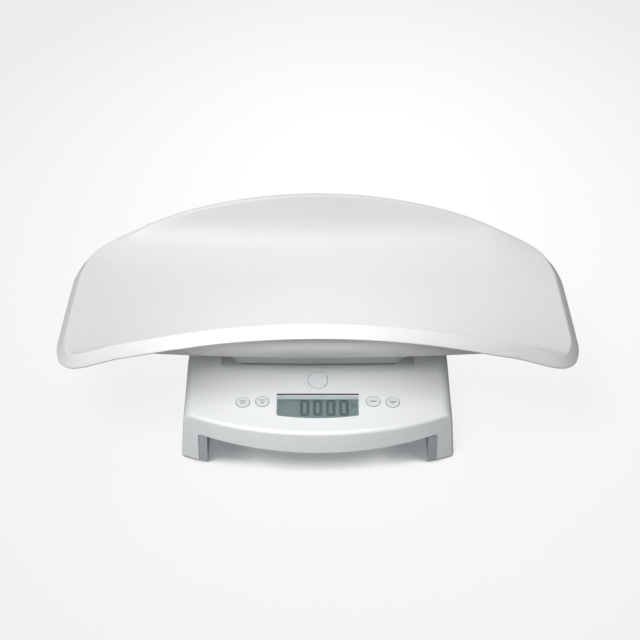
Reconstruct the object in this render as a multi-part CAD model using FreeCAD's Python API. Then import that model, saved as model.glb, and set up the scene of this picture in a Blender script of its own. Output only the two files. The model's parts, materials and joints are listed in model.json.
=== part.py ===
import FreeCAD, Part
import math
import os

# Digital baby weighing scale: a removable trough-shaped tray on a low four-legged base with a
# sloping control panel. Millimetres. Origin on the floor under the middle of the tray, +Z up,
# +X to the user's right, the control panel faces -Y.

V = FreeCAD.Vector

# ---------------------------------------------------------------- driving sizes: base housing
base_width = 297.0            # across the legs, at the floor
base_front = 142.5            # middle of the bowed front wall, from the origin
base_rear = 128.0             # middle of the bowed rear wall, from the origin
front_bow_r = 330.0           # plan radius of the front wall
rear_bow_r = 900.0            # plan radius of the rear wall
edge_r = 4.5                  # rounding of the upright corners and of the top's front and rear edges
shoulder_r = 12.0             # rounding where the top meets the sides
side_draft = math.radians(3.8)
housing_wall = 3.0
least_corner_r = 1.0          # plan corners of pieces set far inside the housing
deck_z = 86.0                 # side rails and rear deck
recess_z = 81.0               # floor that the tray's plinth stands on
recess_half_width = 106.0
recess_rear_y = 52.0
rail_foot_y = -63.0           # where the side rails die out in the panel
rail_top_y = -42.0            # where the side rails reach the deck
rail_overlap = 12.0           # how far the rails run on inside the panel
rear_brow_y = 72.0            # where the rear deck starts to fall
rear_slope = math.radians(18.0)
deck_brow_r = 15.0            # rounding from the deck into its front and rear slopes

# ---------------------------------------------------------------- driving sizes: control panel
brow_y = -46.0                # where the recess floor turns down into the panel
brow_r = 13.0
panel_slope = math.radians(25.0)
panel_bend_y = -68.0          # where the straight slope turns into the hollow sweep
panel_front_z = 55.3          # height of the panel's front edge

# ---------------------------------------------------------------- driving sizes: legs and feet
foot_reveal = 2.0             # rubber showing under each leg
leg_width = 19.3              # front face of a leg, as seen from the front
apron_z = 35.8                # lower edge of the apron beside a leg
apron_dip = 6.4               # how much lower the apron is in the middle
side_opening_z = 34.0         # upper edge of the openings between front and rear legs
opening_corner_r = 3.0
post_width = 29.0             # inner leg post, from the side of the base
post_wall = 2.5
facing_inset = 1.0            # post's facing beside the leg, behind the bowed wall
facing_foot = 1.0             # lower edge of the facing
foot_inset = 16.5             # from the side of the base to the middle of a foot
front_foot_setback = 28.0     # from the bowed front wall to the middle of a foot
rear_foot_setback = 25.5      # from the bowed rear wall to the middle of a foot
foot_x = base_width / 2 - foot_inset
front_foot_y = front_bow_r - base_front - math.sqrt(front_bow_r ** 2 - foot_x ** 2) + front_foot_setback
rear_foot_y = base_rear - rear_bow_r + math.sqrt(rear_bow_r ** 2 - foot_x ** 2) - rear_foot_setback
front_post_run = 19.8         # from the middle of a front foot to the rear face of its post
rear_post_run = 22.0          # from the middle of a rear foot to the front face of its post
post_lap = 4.0                # how far a post reaches past its leg
post_front_y = front_foot_y + front_post_run
post_rear_y = rear_foot_y - rear_post_run
leg_front_y = post_front_y - post_lap   # where the side openings start, behind the front legs
leg_rear_y = post_rear_y + post_lap     # where they end, at the rear legs
foot_places = {"front_left": (-foot_x, front_foot_y), "front_right": (foot_x, front_foot_y),
               "rear_left": (-foot_x, rear_foot_y), "rear_right": (foot_x, rear_foot_y)}
pad_half = (9.0, 17.0)
pad_thickness = 3.5
pad_corner_r = 4.0
pad_chamfer = 0.8
carrier_half = (8.0, 15.5)
carrier_thickness = 3.0
carrier_post_r = 4.0
carrier_corner_r = 3.0
cell_half = (9.0, 17.0)
cell_z = 11.0                 # underside of the load cell
cell_thickness = 2.5
cell_corner_r = 2.0
tongue_half = (4.6, 9.0)      # springy tongue in the middle of the load cell
tongue_slot = 1.6
cell_screw_y = 12.8
cell_screw_r = 1.5
cell_screw_head_r = 2.8
cell_screw_head = 1.8
cell_screw_bite = 9.0
cell_boss_r = 3.6

# ---------------------------------------------------------------- driving sizes: screw heads
screw_head_round = 0.45       # rounding of the head, as a share of its height
screw_recess_reach = 0.6      # reach of the cross recess, as a share of the head's radius
screw_recess_depth = 0.5      # where the recess ends, as a share of the head's height
screw_recess_width = 0.7
screw_tip_gap = 1.0           # left free in the hole beyond each screw's tip

# ---------------------------------------------------------------- driving sizes: bottom cover
cover_z = 36.0
cover_thickness = 2.5
housing_screw_r = 1.5
housing_screw_head_r = 3.2
housing_screw_head = 2.0
housing_screw_bite = 12.0     # thread in the boss
boss_r = 4.5
boss_x = base_width / 2 - 28.5    # screws along the sides
boss_places = [(-boss_x, -45.0), (boss_x, -45.0), (-boss_x, 45.0), (boss_x, 45.0),
               (-45.0, 98.0), (45.0, 98.0)]

# ---------------------------------------------------------------- driving sizes: battery bay
cell_count = 4
battery_r = 7.1
battery_length = 49.2
battery_nub_r = 2.6
battery_nub = 1.3
battery_pitch = 15.2
battery_edge_r = 0.6
bay_y = 0.0                   # front inner wall of the battery bay
bay_wall = 2.0
contact_thickness = 0.6
contact_spring_r = 3.0
contact_spring_length = 4.0
contact_spring_wire = 0.7
contact_spring_turns = 3
contact_margin = 1.6          # left bare beside each contact plate
door_thickness = 2.0
door_lap = 3.0                # how far the door laps past the bay at its front edge
door_gap = 0.5
door_corner_r = 2.0
grip_r = 8.0                  # thumb hollow at the door's free edge
grip_length = 14.0
grip_inset = 6.0              # from the free edge to the middle of the hollow
grip_depth = 1.0
hinge_barrel_r = 2.2
hinge_pin_r = 1.0
hinge_barrel_half = 20.0
hinge_lug = 3.0
hinge_pin_reach = 4.0         # how far each hinge pin enters the door's barrel

# ---------------------------------------------------------------- driving sizes: display and keys
board_y = -101.0              # where the board's middle lies under the panel
board_half_width = 96.0
board_screw_margin = 4.0      # from the board's end to its outer screws
board_screw_x = board_half_width - board_screw_margin
board_screw_places = [(-board_screw_x, -18.0), (board_screw_x, -18.0), (-board_screw_x, 16.0),
                      (board_screw_x, 16.0), (-50.0, -18.0), (50.0, -18.0)]
board_up = 20.0               # from the middle to its upper edge, along the slope
board_down = 24.0             # from the middle to its lower edge
board_depth = 8.4             # top of the board, below the panel's surface
board_thickness = 1.6
board_boss_r = 3.0
board_screw_r = 1.1
board_screw_head_r = 2.2
board_screw_head = 1.3
board_screw_bite = 4.0
window_width = 88.8
window_top = 15.4             # window's upper edge from the board's middle, along the slope
window_corner_drop = 12.5     # window's lower corners from the board's middle
window_bottom = 16.8          # middle of its bowed lower edge
window_corner_r = 2.0
lens_thickness = 1.8
lens_lap = 1.5                # rebate that carries the lens
lens_proud = 0.2
glass_width = 84.0
glass_height = 28.8
glass_middle = -0.6           # from the board's middle, along the slope
glass_thickness = 2.6
strip_width = 2.4
strip_length = 80.0
strip_inset = 1.7             # from the glass's edge to the middle of a strip
frame_wall = 1.6
chip_places = [(-20.0, 0.0, 6.0, 6.0, 1.6), (14.0, -4.0, 4.0, 3.0, 1.4), (-48.0, 4.0, 5.0, 3.0, 1.2)]
buzzer_place = (34.0, 6.0)
buzzer_r = 6.0
buzzer_height = 4.5
buzzer_port_r = 1.0
buzzer_port_depth = 1.0
socket_half = (5.0, 4.0)
socket_height = 5.0
socket_margin = 7.0           # from the board's end to the middle of a socket
socket_x = board_half_width - socket_margin
front_socket_v = 8.0
rear_socket_v = -6.0
key_r = 7.1
key_margin = 15.0             # from the board's end to the middle of an outer key
key_pitch = 21.0              # from an outer key to the one beside it
outer_key_x = board_half_width - key_margin
inner_key_x = outer_key_x - key_pitch
key_places = {"key_power": (-outer_key_x, 6.5), "key_units": (-inner_key_x, 7.6),
              "key_hold": (inner_key_x, 7.6), "key_zero": (outer_key_x, 6.5)}
key_proud = 0.7
cap_edge_r = 0.4              # softened edge of the keys and the release button
key_flange_r = 8.6
key_flange = 1.0
key_stem_r = 2.0
key_travel = 0.8
key_slack = 0.15              # left between a pressed key and its switch
switch_r = 3.0
switch_height = 1.0

# ---------------------------------------------------------------- driving sizes: tray release
button_y = -66.9              # middle of the release button on the panel
button_r = 10.6
button_proud = 0.5
button_flange_r = 12.4
button_flange = 1.2
button_stem_r = 3.5
button_stem = 15.0            # stem's end below the panel's surface
button_stem_flat = 0.7        # flat left in the middle of its rounded end
button_travel = 2.5
collar_wall = 1.6
collar_depth = 10.5
pivot_y = -42.0
pivot_z = 52.0
pivot_r = 1.5
rocker_hub_r = 4.0
rocker_half_width = 7.0
rocker_thickness = 4.0
rocker_reach = 26.0           # pressed arm, forward of the pivot
hook_top_z = 76.5
hook_nose = 6.3               # nose tip, behind the pivot's plane
hook_nose_thickness = 4.0
hook_ramp = 1.5               # height of the slopes under and behind the nose
ear_thickness = 3.0
ear_half_depth = 6.0
ear_drop = 5.0                # below the pivot
spring_y = -57.0
spring_top_z = 53.6           # flat seat under the rocker's arm
spring_r = 3.0
spring_wire = 0.8
spring_turns = 5
spring_seat_z = 42.0
spring_seat_r = 4.4
spring_spigot_r = 1.8
spring_spigot = 3.0

# ---------------------------------------------------------------- driving sizes: tray
tray_floor_z = 113.4          # lowest point of the inside of the tray
tray_rim_z = 192.8            # highest point of the rim
tray_wall = 3.5
tray_length = 564.0
tray_end_bulge = 3.8          # how much the ends bow outwards in plan
tray_rim_bow_r = 630.0        # radius of the rim in front view
tray_floor_bow_r = 3000.0     # radius of the floor in front view
floor_half = 80.0             # half the gently curved floor, across the tray
floor_edge_slope = math.radians(10.0)
trough_r = 72.0               # radius between floor and wall
trough_wall_slope = math.radians(72.0)
flare_start_x = 200.0         # where the trough starts to open out towards its ends
flare_share = 0.26            # how much wider it has become at its very end
rim_r = 4.0                   # rounding over the rim
lip_slope = math.radians(50.5)
lip_length = 12.9             # straight part of the turned-down lip
corner_power = 30             # how square the tray's corners are in plan
rim_points = 180
# Sections of the tray, as shares of the way from its middle to its rim.
ring_shares = [0.02, 0.2, 0.38, 0.5, 0.58, 0.64, 0.69, 0.74, 0.78, 0.82, 0.86, 0.9, 0.94, 0.97, 1.0]
rim_turns = 4                 # sections over the rounding of the rim

# ---------------------------------------------------------------- driving sizes: tray plinth
plinth_half_width = 97.0
plinth_half_depth = 47.0
plinth_corner_r = 16.0
plinth_bow = 1.5              # how much its front and rear bow outwards
plinth_wall = 3.0
plinth_margin = 6.0           # how far the trimming form reaches past the plinth
plinth_web_z = 95.0
plinth_web = 3.0
plinth_screw_places = [(-66.0, -26.0), (66.0, -26.0), (-66.0, 26.0), (66.0, 26.0)]
plinth_boss_r = 5.0
plinth_screw_r = 1.8
plinth_screw_head_r = 3.6
plinth_screw_head = 2.2
plinth_screw_bite = 9.0
peg_r = 4.0
peg_length = 9.0
peg_places = [(-70.0, 0.0), (70.0, 0.0)]
catch_half_width = 6.0
catch_thickness = 4.5
catch_y = -35.3               # front face of the catch
catch_bottom_z = 66.6
catch_lip = 3.4               # how far the barb stands forward of the catch
catch_lip_height = 5.0
catch_lip_edge = 2.0          # upright part of the barb's nose

# ---------------------------------------------------------------- driving sizes: leads
lead_r = 1.5
lead_bend_share = 0.45
lead_hole_r = 4.4             # where a lead passes the bottom cover

# ---------------------------------------------------------------- clearances
seat_gap = 0.3                # tray on base, and other pieces that only rest
slide_gap = 0.3               # beside pieces that slide or turn
groove = 0.55                 # open groove round a key or the release button
pin_gap = 0.05                # round a pin in its bore
hinge_gap = 0.1               # round the battery door's pins
fit_gap = 0.4                 # cover in housing
slot_gap = 1.5                # round the catch and pegs in the recess floor
touch_gap = 0.05              # between pieces that are pressed together

# ---------------------------------------------------------------- sizes that follow
half_width = base_width / 2
brow_end_y = brow_y - brow_r * math.sin(panel_slope)
brow_end_z = recess_z - brow_r * (1 - math.cos(panel_slope))
bend_z = brow_end_z - (brow_end_y - panel_bend_y) * math.tan(panel_slope)
sweep_chord_slope = math.atan2(bend_z - panel_front_z, base_front + panel_bend_y)
front_slope = 2 * sweep_chord_slope - panel_slope
sweep_r = (base_front + panel_bend_y) / (math.sin(panel_slope) - math.sin(front_slope))
cover_inset = housing_wall + fit_gap
cover_top_z = cover_z + cover_thickness
beyond = 40.0                 # how far cutting tools run past what they cut

os.makedirs("parts", exist_ok=True)


def save(name, shape):
    """Writes one sub-part."""
    shape.exportStep("parts/" + name + ".step")


def box(x0, y0, z0, x1, y1, z1):
    return Part.makeBox(x1 - x0, y1 - y0, z1 - z0, V(x0, y0, z0))


def rod(radius, z0, z1, x=0.0, y=0.0):
    return Part.makeCylinder(radius, z1 - z0, V(x, y, z0))


def rounded_box(x0, y0, z0, x1, y1, z1, radius):
    """Box with its four upright edges rounded."""
    body = box(x0, y0, z0, x1, y1, z1)
    upright = [e for e in body.Edges if abs(e.tangentAt(e.FirstParameter).z) > 0.9]
    return body.makeFillet(radius, upright)


def cut_each(body, tools):
    """Cuts tools that may overlap each other, one after another."""
    for tool in tools:
        body = body.cut(tool)
    return body


def line(a, b):
    return Part.LineSegment(a, b).toShape()


def arc(a, b, c):
    return Part.Arc(a, b, c).toShape()


def extrude_x(edges, half):
    """Solid between x = -half and +half from a closed profile drawn in the plane x = 0."""
    face = Part.Face(Part.Wire(edges))
    face.translate(V(-half, 0, 0))
    return face.extrude(V(2 * half, 0, 0))


def polygon_x(points, half, middle=0.0):
    """Solid of width 2 * half about x = middle from (y, z) corners."""
    corners = [V(0, y, z) for y, z in points]
    solid = extrude_x([line(a, b) for a, b in zip(corners, corners[1:] + corners[:1])], half)
    solid.translate(V(middle, 0, 0))
    return solid


# ---------------------------------------------------------------- the panel's side profile
def panel_at(y):
    """Height and slope of the panel's surface at y."""
    if y >= brow_y:
        return recess_z, 0.0
    if y >= brow_end_y:
        slope = math.asin((brow_y - y) / brow_r)
        return recess_z - brow_r * (1 - math.cos(slope)), slope
    if y >= panel_bend_y:
        return bend_z + (y - panel_bend_y) * math.tan(panel_slope), panel_slope
    slope = math.asin(math.sin(panel_slope) - (panel_bend_y - y) / sweep_r)
    return bend_z - sweep_r * (math.cos(slope) - math.cos(panel_slope)), slope


def sunk(y, z, slope, depth):
    """A point of a sloping surface, moved straight into the material by depth."""
    return V(0, y + depth * math.sin(slope), z - depth * math.cos(slope))


def surface_point(y, depth):
    z, slope = panel_at(y)
    return sunk(y, z, slope, depth)


def panel_block(depth, half):
    """Everything under the recess floor and the panel, sunk by depth."""
    front = surface_point(-base_front, depth)
    sweep_mid = surface_point((panel_bend_y - base_front) / 2, depth)
    bend = surface_point(panel_bend_y, depth)
    brow_end = surface_point(brow_end_y, depth)
    brow_mid = surface_point(brow_y - brow_r * math.sin(panel_slope / 2), depth)
    brow = surface_point(brow_y, depth)
    far_front = V(0, front.y - beyond, front.z - beyond * math.tan(front_slope))
    far_rear = V(0, base_rear + beyond, brow.z)
    low_rear = V(0, far_rear.y, -beyond)
    low_front = V(0, far_front.y, -beyond)
    edges = [line(far_front, front), arc(front, sweep_mid, bend), line(bend, brow_end)]
    edges += [arc(brow_end, brow_mid, brow), line(brow, far_rear)]
    edges += [line(far_rear, low_rear), line(low_rear, low_front), line(low_front, far_front)]
    return extrude_x(edges, half)


def deck_block(depth, half):
    """Side rails and rear deck, sunk by depth: a flat top with a slope at each end."""
    foot_z = panel_at(rail_foot_y)[0]
    rail_slope = math.atan2(deck_z - foot_z, rail_top_y - rail_foot_y)
    lift = depth * math.tan(rail_slope / 2)
    rear_lift = depth * math.tan(rear_slope / 2)
    foot = sunk(rail_foot_y, foot_z, rail_slope, depth)
    top = V(0, rail_top_y + lift, deck_z - depth)
    rear_top = V(0, rear_brow_y - rear_lift, deck_z - depth)
    rear_low = V(0, rear_top.y + beyond * 2, rear_top.z - beyond * 2 * math.tan(rear_slope))
    low_foot = foot - V(0, rail_overlap, rail_overlap * math.tan(rail_slope))
    points = [(low_foot.y, low_foot.z), (top.y, top.z), (rear_top.y, rear_top.z), (rear_low.y, rear_low.z)]
    points += [(rear_low.y, -beyond), (low_foot.y, -beyond)]
    block = polygon_x(points, half)
    brows = [e for e in block.Edges if abs(e.Length - 2 * half) < 1e-6 and e.BoundBox.ZMin > recess_z]
    return block.makeFillet(deck_brow_r - depth, brows)


# ---------------------------------------------------------------- the housing's plan
def upright_edges(body):
    return [e for e in body.Edges if abs(e.tangentAt(e.FirstParameter).z) > 0.9]


def base_wedge(inset, z0, z1):
    """Everything between the base's leaning sides, drawn in by inset, between two heights."""
    low = half_width - inset - z0 * math.tan(side_draft)
    high = half_width - inset - z1 * math.tan(side_draft)
    sides = [V(-low, 0, z0), V(low, 0, z0), V(high, 0, z1), V(-high, 0, z1)]
    face = Part.Face(Part.Wire([line(a, b) for a, b in zip(sides, sides[1:] + sides[:1])]))
    face.translate(V(0, -base_front - beyond, 0))
    return face.extrude(V(0, base_front + base_rear + 2 * beyond, 0))


def bowed_prism(inset, z0, z1):
    """Everything between the base's bowed front and rear walls, drawn in by inset."""
    front_r = front_bow_r - inset
    rear_r = rear_bow_r - inset
    front_mid = -base_front + inset
    rear_mid = base_rear - inset
    reach = half_width + beyond
    front_y = front_mid + front_r - math.sqrt(front_r ** 2 - reach ** 2)
    rear_y = rear_mid - rear_r + math.sqrt(rear_r ** 2 - reach ** 2)
    corners = [V(-reach, front_y, z0), V(reach, front_y, z0), V(reach, rear_y, z0), V(-reach, rear_y, z0)]
    edges = [arc(corners[0], V(0, front_mid, z0), corners[1]), line(corners[1], corners[2])]
    edges += [arc(corners[2], V(0, rear_mid, z0), corners[3]), line(corners[3], corners[0])]
    return Part.Face(Part.Wire(edges)).extrude(V(0, 0, z1 - z0))


def base_column(inset, z0, z1):
    """The base's plan with its leaning sides and rounded corners, drawn in by inset."""
    column = bowed_prism(inset, z0, z1).common(base_wedge(inset, z0, z1))
    return column.makeFillet(max(edge_r - inset, least_corner_r), upright_edges(column))


def edge_middle(edge):
    return edge.valueAt((edge.FirstParameter + edge.LastParameter) / 2)


def round_shoulders(body, inset, z0):
    """Rounds the edges where a body's top meets the base's leaning sides."""
    shoulders = []
    for edge in body.Edges:
        middle = edge_middle(edge)
        side_x = half_width - inset - middle.z * math.tan(side_draft)
        along = abs(edge.tangentAt((edge.FirstParameter + edge.LastParameter) / 2).y) > 0.5
        if along and middle.z > z0 + 1 and abs(abs(middle.x) - side_x) < 0.01:
            shoulders.append(edge)
    return body.makeFillet(shoulder_r - inset, shoulders)


def round_walls(body, z0):
    """Rounds every edge on the bowed walls but the lower ones."""
    inner = bowed_prism(edge_r / 2, -beyond, deck_z + beyond)
    raised = [e for e in body.Edges if e.BoundBox.ZMax > z0 + 1]
    return body.makeFillet(edge_r, [e for e in raised if not inner.isInside(edge_middle(e), 0.01, True)])


def housing_form(inset, z0, rounded):
    """The base's form over z0, drawn in by inset on every side but the bottom."""
    half = half_width + beyond
    z1 = deck_z + beyond
    panel = panel_block(inset, half)
    layers = []
    for block in (panel, deck_block(inset, half)):
        layer = round_shoulders(block.common(base_wedge(inset, z0, z1)), inset, z0)
        layer = layer.common(bowed_prism(inset, z0, z1))
        layers.append(round_walls(layer, z0) if rounded else layer)
    recess_side = recess_half_width + inset
    recess = box(-recess_side, panel_bend_y, z0, recess_side, recess_rear_y + inset, z1)
    return layers[0].fuse(layers[1]).cut(recess.cut(panel)).removeSplitter()


# ---------------------------------------------------------------- base housing
def opening_profile(margin):
    """Space under the apron between the legs, seen from the front, less a margin."""
    reach = half_width - leg_width - margin
    top = apron_z - margin
    low = -beyond
    left, right = V(-reach, 0, top), V(reach, 0, top)
    crown = arc(left, V(0, 0, top - apron_dip), right)
    floor_left, floor_right = V(-reach, 0, low), V(reach, 0, low)
    sides = [line(right, floor_right), line(floor_right, floor_left), line(floor_left, left)]
    face = Part.Face(Part.Wire([crown] + sides))
    face.translate(V(0, -base_front - beyond, 0))
    tunnel = face.extrude(V(0, base_front + base_rear + 2 * beyond, 0))
    level = [e for e in tunnel.Edges if abs(e.CenterOfMass.z - top) < 1e-3]
    corners = [e for e in level if abs(e.CenterOfMass.x) > reach - 1]
    return tunnel.makeFillet(opening_corner_r - margin, corners)


def side_opening():
    reach = half_width + beyond
    tunnel = box(-reach, leg_front_y, -beyond, reach, leg_rear_y, side_opening_z)
    corners = [e for e in tunnel.Edges if abs(e.CenterOfMass.z - side_opening_z) < 1e-3 and e.Length > reach]
    return tunnel.makeFillet(opening_corner_r, corners)


def on_panel(shape, y, x=0.0):
    """Moves a shape drawn with +Z out of the panel and +Y up the slope onto the panel at y."""
    z, slope = panel_at(y)
    placed = shape.copy()
    placed.rotate(V(0, 0, 0), V(1, 0, 0), math.degrees(slope))
    placed.translate(V(x, y, z))
    return placed


def on_board(shape):
    return on_panel(shape, board_y)


def window_block(margin, low, high):
    """The display window's outline, grown by margin, between two levels of the panel."""
    x = window_width / 2 + margin
    top, side, bottom = window_top + margin, -window_corner_drop - margin, -window_bottom - margin
    corners = [V(-x, side, low), V(x, side, low), V(x, top, low), V(-x, top, low)]
    edges = [arc(corners[0], V(0, bottom, low), corners[1]), line(corners[1], corners[2])]
    edges += [line(corners[2], corners[3]), line(corners[3], corners[0])]
    block = Part.Face(Part.Wire(edges)).extrude(V(0, 0, high - low))
    return on_board(block.makeFillet(window_corner_r, upright_edges(block)))


def housing_bosses():
    inside = housing_form(housing_wall / 2, cover_top_z, False)
    posts = [rod(boss_r, cover_top_z, deck_z, x, y) for x, y in boss_places]
    posts += [on_board(rod(board_boss_r, -board_depth, housing_wall, x, v)) for x, v in board_screw_places]
    return [post.common(inside) for post in posts]


def button_collar():
    outer = rod(button_flange_r + slide_gap + collar_wall, -collar_depth, -housing_wall / 2)
    return on_panel(outer.cut(rod(button_flange_r + slide_gap, -collar_depth, 0)), button_y)


def pivot_ears():
    inner = rocker_half_width + slide_gap
    front, rear = pivot_y - ear_half_depth, pivot_y + ear_half_depth
    root_z = recess_z - housing_wall / 2
    ear = box(inner, front, pivot_z - ear_drop, inner + ear_thickness, rear, root_z)
    return [ear, ear.mirror(V(0, 0, 0), V(1, 0, 0))]


def pivot_rod(radius, half):
    return Part.makeCylinder(radius, 2 * half, V(-half, pivot_y, pivot_z), V(1, 0, 0))


def make_top_housing():
    body = housing_form(0.0, foot_reveal, True).cut(housing_form(housing_wall, foot_reveal - beyond, False))
    body = cut_each(body, [opening_profile(0.0), side_opening()])
    body = body.fuse(housing_bosses() + [button_collar()] + pivot_ears())
    cuts = [window_block(fit_gap / 2, lens_proud - lens_thickness, beyond)]
    cuts.append(window_block(-lens_lap, -beyond / 4, beyond))
    for x, v in key_places.values():
        cuts.append(on_board(rod(key_r + groove, -2 * housing_wall, beyond, x, v)))
    cuts.append(on_panel(rod(button_r + groove, -2 * housing_wall, beyond), button_y))
    for x, y in boss_places:
        cuts.append(rod(housing_screw_r, cover_top_z - 1, cover_top_z + housing_screw_bite, x, y))
    for x, v in board_screw_places:
        cuts.append(on_board(rod(board_screw_r, -board_depth - 1, board_screw_bite - board_depth, x, v)))
    cuts.append(pivot_rod(pivot_r, rocker_half_width + beyond / 2))
    catch_x = catch_half_width + slot_gap
    catch_front = catch_y - catch_lip - slot_gap
    catch_rear = catch_y + catch_thickness + slot_gap
    cuts.append(box(-catch_x, catch_front, recess_z - beyond / 4, catch_x, catch_rear, deck_z))
    for x, y in peg_places:
        cuts.append(rod(peg_r + slide_gap, recess_z - beyond / 4, deck_z, x, y))
    return cut_each(body, cuts)


# ---------------------------------------------------------------- bottom cover and battery bay
bay_half = battery_length / 2 + (battery_nub + contact_spring_length) / 2 + contact_thickness + slide_gap
bay_rear_y = bay_y + cell_count * battery_pitch
door_top_z = cover_z + door_thickness
flange_z = door_top_z + seat_gap
battery_z = flange_z + battery_r
bay_roof_z = battery_z + battery_r + fit_gap
door_half = bay_half + bay_wall + door_lap
door_front_y = bay_y - bay_wall - door_lap
door_rear_y = bay_rear_y + bay_wall + door_lap
hinge_y = door_rear_y + hinge_barrel_r + door_gap
hinge_z = cover_z + hinge_barrel_r


def leg_post(place):
    """Hollow post inside one leg, open at the bottom, with bosses for the load cell."""
    x, y = foot_places[place]
    inner_x = half_width - post_width
    inner_y = post_front_y if y < 0 else post_rear_y
    side = 1 if x > 0 else -1
    end = 1 if y > 0 else -1

    def corner_box(shrink, z0, z1):
        xs = sorted([side * (inner_x + shrink), side * (half_width + beyond)])
        ys = sorted([inner_y + end * shrink, end * (base_front + beyond)])
        return box(xs[0], ys[0], z0, xs[1], ys[1], z1)

    outer = base_column(cover_inset, foot_reveal, cover_top_z).common(corner_box(0, foot_reveal, cover_top_z))
    hollow = base_column(cover_inset + post_wall, foot_reveal - beyond, cover_z)
    post = outer.cut(hollow.common(corner_box(post_wall, foot_reveal - beyond, cover_z)))
    boss_ys = (y - cell_screw_y, y + cell_screw_y)
    bosses = [rod(cell_boss_r, cell_z + cell_thickness, cover_z, x, boss_y) for boss_y in boss_ys]
    facing = base_column(facing_inset, facing_foot, cover_z).common(corner_box(0, facing_foot, cover_z))
    facing = facing.common(opening_profile(fit_gap))
    facing = facing.cut(base_column(cover_inset + post_wall / 2, facing_foot - 1, cover_z + 1))
    return post.fuse(bosses + [facing])


def hinge_rod(radius, x0, x1):
    return Part.makeCylinder(radius, x1 - x0, V(x0, hinge_y, hinge_z), V(1, 0, 0))


def hinge_lugs():
    """Two lugs with pins that carry the battery door."""
    lugs = []
    start = hinge_barrel_half + slide_gap
    for side in (-1, 1):
        x0, x1 = sorted([side * start, side * (start + hinge_lug)])
        lug = hinge_rod(hinge_barrel_r, x0, x1)
        root_z = flange_z + bay_wall
        lug = lug.fuse(box(x0, hinge_y - hinge_barrel_r, hinge_z, x1, hinge_y + hinge_barrel_r, root_z))
        tip, root = sorted([side * (hinge_barrel_half - hinge_pin_reach), side * (start + hinge_lug)])
        lugs.append(lug.fuse(hinge_rod(hinge_pin_r, tip, root)))
    return lugs


def make_bottom_cover():
    plate = base_column(cover_inset, cover_z, cover_top_z)
    posts = [leg_post(place) for place in foot_places]
    flange_x = door_half + door_gap + bay_wall
    flange = box(-flange_x, door_front_y - door_gap - bay_wall, flange_z, flange_x,
                 hinge_y + hinge_barrel_r + door_gap + bay_wall, flange_z + bay_wall)
    shell = box(-bay_half - bay_wall, bay_y - bay_wall, flange_z, bay_half + bay_wall, bay_rear_y + bay_wall,
                bay_roof_z + bay_wall)
    body = plate.fuse(posts + [flange, shell, rod(spring_seat_r, cover_top_z, spring_seat_z, 0, spring_y)])
    body = body.fuse(rod(spring_spigot_r, cover_top_z, spring_seat_z + spring_spigot, 0, spring_y))
    cuts = [box(-bay_half, bay_y, 0, bay_half, bay_rear_y, bay_roof_z)]
    door_x = door_half + door_gap
    barrel_rear = hinge_y + hinge_barrel_r + door_gap
    cuts.append(box(-door_x, door_front_y - door_gap, 0, door_x, barrel_rear, flange_z))
    barrel_x = hinge_barrel_half + slide_gap
    cuts.append(box(-barrel_x, door_rear_y, 0, barrel_x, barrel_rear, flange_z + beyond / 2))
    for x, y in boss_places:
        cuts.append(rod(housing_screw_r, 0, cover_top_z + 1, x, y))
    for x, y in foot_places.values():
        for dy in (-cell_screw_y, cell_screw_y):
            cuts.append(rod(cell_screw_r, cell_z, cell_z + cell_thickness + cell_screw_bite, x, y + dy))
    for route in lead_routes().values():
        cuts.append(rod(lead_hole_r, cover_z - 1, cover_top_z + 1, route[0].x, route[0].y))
    return cut_each(body, cuts).fuse(hinge_lugs())


def make_battery_door():
    body = box(-door_half, door_front_y, cover_z, door_half, door_rear_y - door_gap, door_top_z)
    body = body.makeFillet(door_corner_r, [e for e in upright_edges(body) if e.CenterOfMass.y < bay_y])
    web = box(-hinge_barrel_half, door_rear_y - 2 * door_gap, cover_z, hinge_barrel_half, hinge_y, door_top_z)
    body = body.fuse([web, hinge_rod(hinge_barrel_r, -hinge_barrel_half, hinge_barrel_half)])
    grip_start = V(-grip_length / 2, door_front_y + grip_inset, cover_z + grip_depth - grip_r)
    grip = Part.makeCylinder(grip_r, grip_length, grip_start, V(1, 0, 0))
    bore = hinge_rod(hinge_pin_r + hinge_gap, -hinge_barrel_half - 1, hinge_barrel_half + 1)
    return body.cut([bore, grip])


def battery(index):
    """One cell lying along X; every other one is turned round."""
    turn = 1 if index % 2 == 0 else -1
    y = bay_y + battery_pitch * (index + 0.5)
    start = -bay_half + contact_thickness + contact_spring_length
    can = Part.makeCylinder(battery_r, battery_length, V(start, y, battery_z), V(1, 0, 0))
    nub = Part.makeCylinder(battery_nub_r, battery_nub, V(start + battery_length, y, battery_z), V(1, 0, 0))
    cell = can.makeFillet(battery_edge_r, can.Edges[0:1] + can.Edges[2:3]).fuse(nub)
    return cell if turn == 1 else cell.mirror(V(0, 0, 0), V(1, 0, 0))


def coil(radius, wire, length, turns):
    """A compression spring standing on z = 0."""
    rise = length - wire
    helix = Part.makeHelix(rise / turns, rise, radius)
    section = Part.Wire(Part.makeCircle(wire / 2, V(radius, 0, 0), V(0, 1, 0)))
    spring = Part.Wire(helix).makePipeShell([section], True, True)
    spring.translate(V(0, 0, wire / 2))
    return spring


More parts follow.
